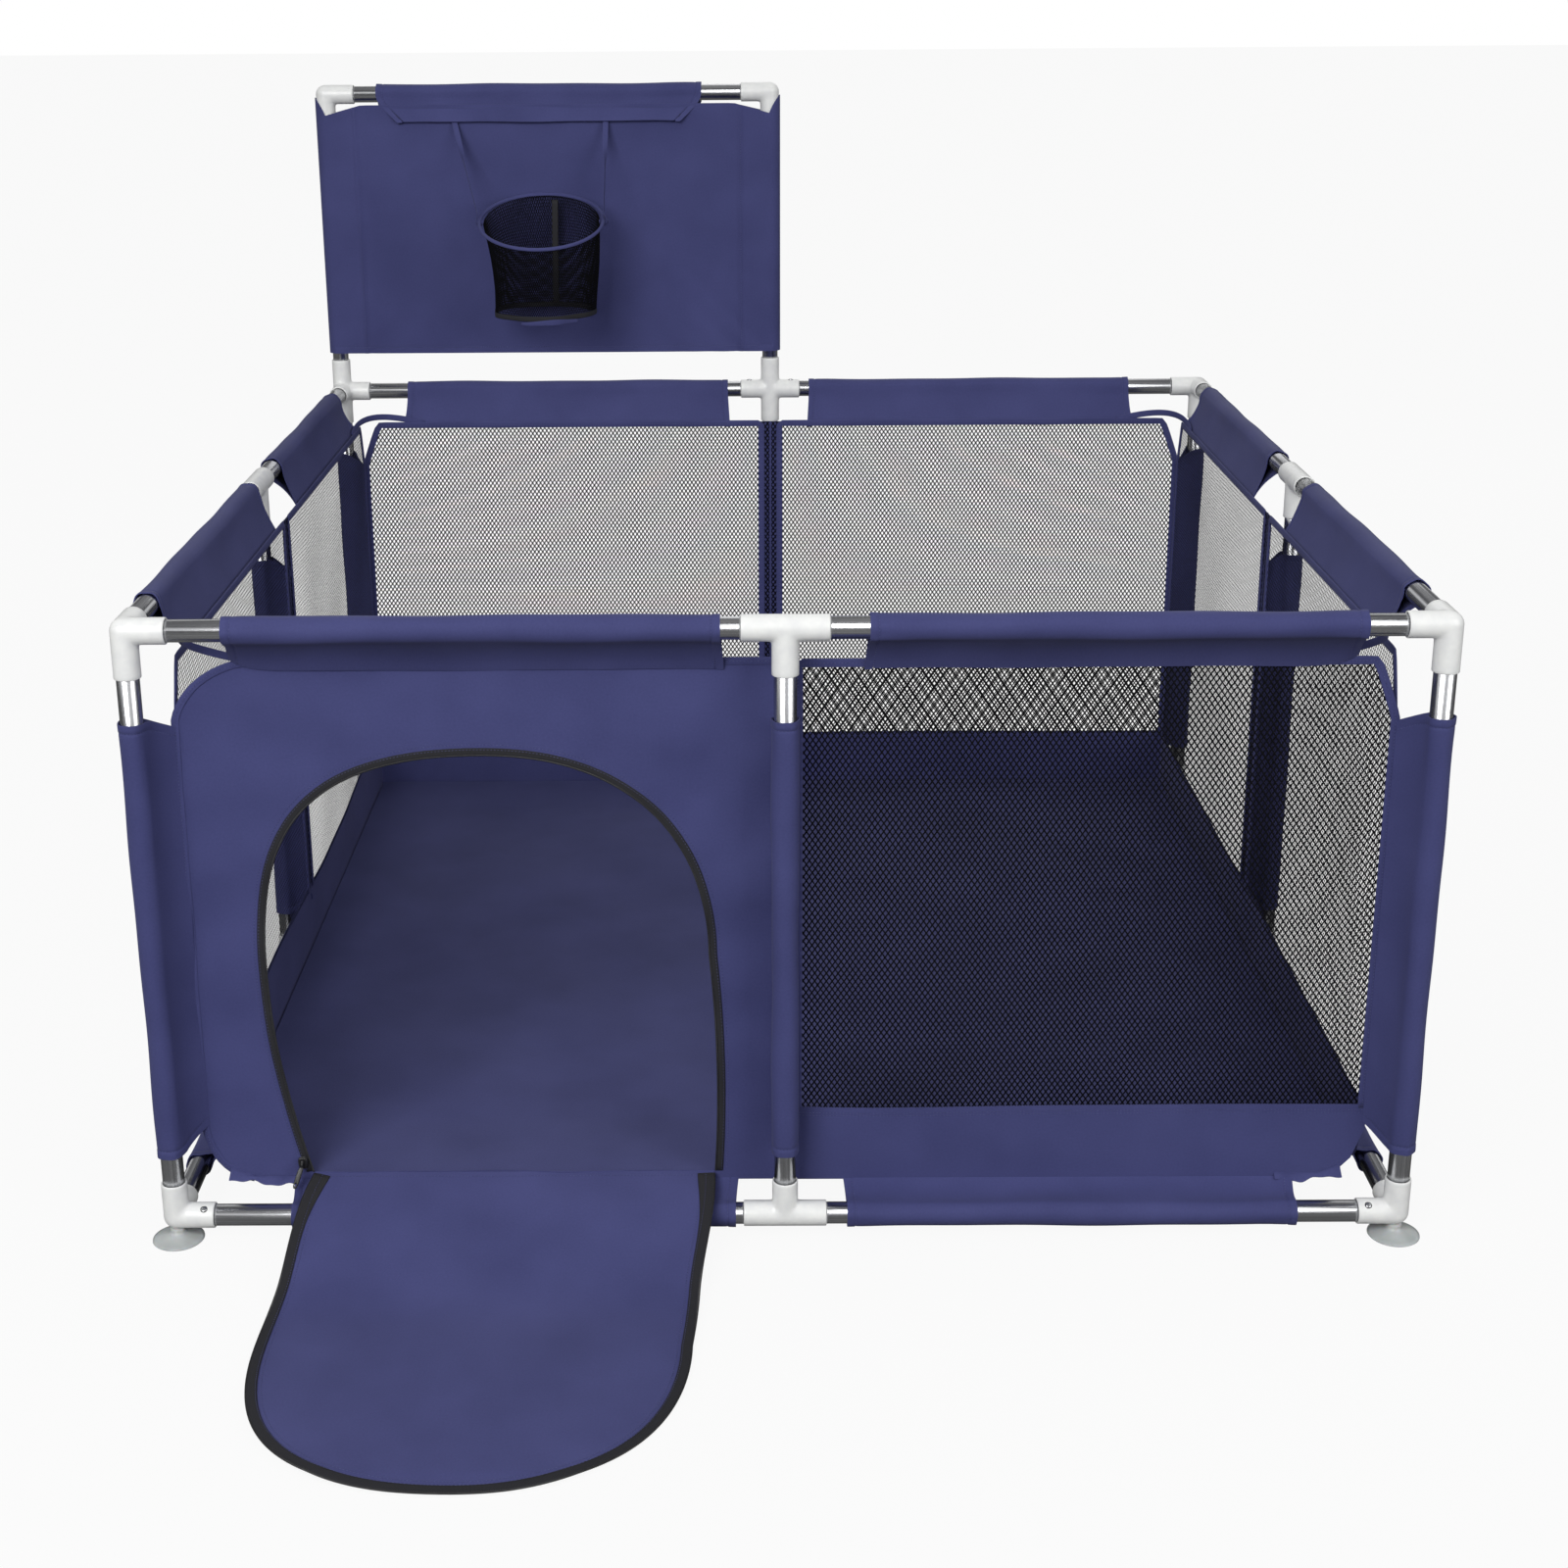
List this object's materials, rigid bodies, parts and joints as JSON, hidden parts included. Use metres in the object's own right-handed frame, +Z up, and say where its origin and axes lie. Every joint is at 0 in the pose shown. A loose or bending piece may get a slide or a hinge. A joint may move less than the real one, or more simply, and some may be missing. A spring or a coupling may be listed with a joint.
{
  "type": "travel play yard",
  "caption": "Square play yard of steel tubes in plastic fittings, with a sewn fabric and mesh cover, an arched zip door that folds down to the ground, and a backboard with a ball hoop.",
  "frame": {"origin": "on the ground, under the middle of the yard with its door folded down", "axes": "+Y from the door side to the hoop side, +Z up, +X to the right of someone facing the door"},
  "size_m": [1.292, 1.6782, 1.0774],
  "materials": {
    "steel_tube": "bright polished steel tube",
    "white_plastic": "white moulded plastic, soft gloss",
    "clear_rubber": "milky translucent PVC suction cup",
    "navy_fabric": "coated woven polyester, matt",
    "mesh_fabric": "knitted polyester mesh with diamond holes",
    "black_zip": "black nylon zip tape, slider and pull"
  },
  "bodies": {
    "frame": {"ball_net": "mesh_fabric", "base_corner_back_left": "white_plastic", "base_corner_back_right": "white_plastic", "base_corner_front_left": "white_plastic", "base_corner_front_right": "white_plastic", "base_rail_back": "steel_tube", "base_rail_front_left": "steel_tube", "base_rail_front_right": "steel_tube", "base_rail_left": "steel_tube", "base_rail_right": "steel_tube", "base_tee_back": "white_plastic", "base_tee_front": "white_plastic", "base_tee_left": "white_plastic", "base_tee_right": "white_plastic", "cover_back": "navy_fabric", "cover_floor": "navy_fabric", "cover_front": "navy_fabric", "cover_left": "navy_fabric", "cover_right": "navy_fabric", "hoop_backboard": "navy_fabric", "hoop_crossbar": "steel_tube", "hoop_elbow_left": "white_plastic", "hoop_elbow_right": "white_plastic", "hoop_ring": "navy_fabric", "hoop_upright_left": "steel_tube", "hoop_upright_right": "steel_tube", "post_back_left": "steel_tube", "post_back_middle": "steel_tube", "post_back_right": "steel_tube", "post_front_left": "steel_tube", "post_front_middle": "steel_tube", "post_front_right": "steel_tube", "post_left_middle": "steel_tube", "post_right_middle": "steel_tube", "suction_foot_back_left": "clear_rubber", "suction_foot_back_right": "clear_rubber", "suction_foot_front_left": "clear_rubber", "suction_foot_front_right": "clear_rubber", "top_corner_back_left": "white_plastic", "top_corner_back_right": "white_plastic", "top_corner_front_left": "white_plastic", "top_corner_front_right": "white_plastic", "top_cross_back": "white_plastic", "top_rail_back_left": "steel_tube", "top_rail_back_right": "steel_tube", "top_rail_front_left": "steel_tube", "top_rail_front_right": "steel_tube", "top_rail_left": "steel_tube", "top_rail_right": "steel_tube", "top_tee_front": "white_plastic", "top_tee_left": "white_plastic", "top_tee_right": "white_plastic"},
    "door_flap_inner": {"door_flap_inner": "navy_fabric"},
    "door_flap_outer": {"door_flap_outer": "navy_fabric"},
    "zip_slider": {"zip_slider": "black_zip"},
    "zip_pull": {"zip_pull": "black_zip"},
    "lock_button_front_left": {"lock_button_front_left": "steel_tube"},
    "lock_button_front_right": {"lock_button_front_right": "steel_tube"},
    "lock_button_back_cross_left": {"lock_button_back_cross_left": "steel_tube"},
    "lock_button_back_cross_right": {"lock_button_back_cross_right": "steel_tube"}
  },
  "joints": [
    {"name": "door_fold", "type": "hinge", "parent": "frame", "child": "door_flap_inner", "pos_m": [-0.28, -0.3949, 0.057], "axis": [-1, 0, 0], "range_deg": [0, 109]},
    {"name": "door_bend", "type": "hinge", "parent": "door_flap_inner", "child": "door_flap_outer", "pos_m": [-0.28, -0.55638, 0.0014], "axis": [-1, 0, 0], "range_deg": [-19.1, 0]},
    {"name": "zip_travel", "type": "hinge", "parent": "frame", "child": "zip_slider", "pos_m": [0.323, -0.3949, 0.294], "axis": [0, 1, 0], "range_deg": [0, 17.5]},
    {"name": "pull_swing", "type": "hinge", "parent": "zip_slider", "child": "zip_pull", "pos_m": [-0.49362, -0.4028, 0.07], "axis": [-1, 0, 0], "range_deg": [0, 150]},
    {"name": "front_left_button_press", "type": "slide", "parent": "frame", "child": "lock_button_front_left", "axis": [0, 0.5736, -0.8192], "range_m": [0, 0.002], "stiffness_N_per_m": 400, "springref_m": -0.003},
    {"name": "front_right_button_press", "type": "slide", "parent": "frame", "child": "lock_button_front_right", "axis": [0, 0.5736, -0.8192], "range_m": [0, 0.002], "stiffness_N_per_m": 400, "springref_m": -0.003},
    {"name": "back_cross_left_button_press", "type": "slide", "parent": "frame", "child": "lock_button_back_cross_left", "axis": [0, 0, -1], "range_m": [0, 0.002], "stiffness_N_per_m": 400, "springref_m": -0.003},
    {"name": "back_cross_right_button_press", "type": "slide", "parent": "frame", "child": "lock_button_back_cross_right", "axis": [0, 0, -1], "range_m": [0, 0.002], "stiffness_N_per_m": 400, "springref_m": -0.003}
  ],
  "couplings": [
    {"joint": "door_bend", "follows": "door_fold", "ratio": -0.17431}
  ]
}
